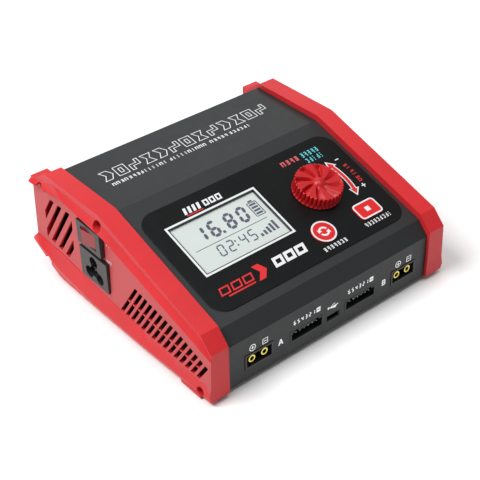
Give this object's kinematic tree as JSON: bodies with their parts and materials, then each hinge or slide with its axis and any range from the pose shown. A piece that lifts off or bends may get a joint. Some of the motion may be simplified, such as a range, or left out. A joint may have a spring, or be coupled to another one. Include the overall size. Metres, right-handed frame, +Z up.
{
  "type": "balance battery charger",
  "caption": "Bench battery charger: sloping dark panel with display, turning knob and keys between two red slotted end caps, sockets along the front edge.",
  "frame": {"origin": "middle of the footprint, on the surface that the rubber feet stand on", "axes": "+X from the left cap (mains side) to the right cap, +Y from the front sockets to the rear, +Z up"},
  "size_m": [0.1504, 0.1396, 0.0588],
  "materials": {
    "cap_plastic": "satin moulded",
    "shell_paint": "fine satin gunmetal paint",
    "base_paint": "matt black paint",
    "overlay_film": "smooth satin film",
    "black_plastic": "moulded, fine grain",
    "lcd_screen": "polariser, slight gloss",
    "white_plastic": "diffusing",
    "circuit_board": "solder mask",
    "key_plastic": "satin",
    "knob_plastic": "satin moulded",
    "rocker_plastic": "translucent gloss",
    "rubber": "matt",
    "steel": "zinc plated",
    "black_screw": "black oxide",
    "gold": "gold plated, polished",
    "tin": "tinned",
    "ferrite": "ground ferrite",
    "copper_coil": "enamelled copper",
    "capacitor_sleeve": "shrink sleeve",
    "sink_aluminium": "extruded",
    "fuse_glass": "clear tube",
    "lead_insulation": "insulation"
  },
  "bodies": {
    "root": {"left_end_cap": "cap_plastic", "right_end_cap": "cap_plastic", "left_cap_screws": "black_screw", "right_cap_screws": "black_screw", "rubber_feet": "rubber", "top_shell": "shell_paint", "base_plate": "base_paint", "base_screws": "steel", "panel_overlay": "overlay_film", "lcd_frame": "black_plastic", "lcd_glass": "lcd_screen", "lcd_backlight": "white_plastic", "display_board": "circuit_board", "display_spacers": "steel", "display_screws": "steel", "encoder_body": "black_plastic", "encoder_bush": "steel", "encoder_nut": "steel", "tact_switches": "black_plastic", "output_socket_a": "black_plastic", "output_socket_b": "black_plastic", "output_contacts": "gold", "balance_socket_a": "black_plastic", "balance_socket_b": "black_plastic", "balance_pins": "tin", "usb_socket": "black_screw", "rocker_frame": "black_plastic", "rocker_pin": "steel", "rocker_terminals": "tin", "inlet_body": "black_plastic", "inlet_pins": "tin", "fan_frame": "black_plastic", "fan_screws": "black_screw", "main_board": "circuit_board", "power_board": "circuit_board", "board_posts": "steel", "board_screws": "steel", "connector_board": "circuit_board", "transformer_core": "ferrite", "transformer_coil": "copper_coil", "bulk_capacitor": "capacitor_sleeve", "output_capacitors": "capacitor_sleeve", "output_inductors": "copper_coil", "heat_sink": "sink_aluminium", "power_transistors": "black_plastic", "mains_fuse": "fuse_glass", "fuse_clips": "tin", "control_chip": "black_plastic", "mains_leads": "lead_insulation", "fan_lead": "lead_insulation"},
    "plunger": {"encoder_plunger": "white_plastic"},
    "knob": {"knob": "knob_plastic", "encoder_shaft": "sink_aluminium"},
    "stop_key": {"stop_button": "key_plastic", "stop_plunger": "black_plastic"},
    "channel_key": {"channel_button": "key_plastic", "channel_plunger": "black_plastic"},
    "rocker": {"rocker": "rocker_plastic"},
    "fan": {"fan_rotor": "black_plastic", "fan_shaft": "steel"}
  },
  "joints": [
    {"name": "knob_push", "type": "slide", "parent": "root", "child": "plunger", "axis": [0, 0.2927, -0.9562], "range_m": [0, 0.0005], "stiffness_N_per_m": 800, "springref_m": -0.0005},
    {"name": "knob_turn", "type": "hinge", "parent": "plunger", "child": "knob", "pos_m": [0.0295, -0.02437, 0.0445], "axis": [0, -0.2927, 0.9562], "continuous": true},
    {"name": "stop_press", "type": "slide", "parent": "root", "child": "stop_key", "axis": [0, 0.2927, -0.9562], "range_m": [0, 0.00035], "stiffness_N_per_m": 900, "springref_m": -0.0004},
    {"name": "channel_press", "type": "slide", "parent": "root", "child": "channel_key", "axis": [0, 0.2927, -0.9562], "range_m": [0, 0.00035], "stiffness_N_per_m": 900, "springref_m": -0.0004},
    {"name": "rocker_tilt", "type": "hinge", "parent": "root", "child": "rocker", "pos_m": [-0.0703, 0.01775, 0.0428], "axis": [0, 0, 1], "range_deg": [-24, 0]},
    {"name": "fan_spin", "type": "hinge", "parent": "root", "child": "fan", "pos_m": [0.014, 0.0555, 0.0291], "axis": [0, 1, 0], "continuous": true}
  ]
}
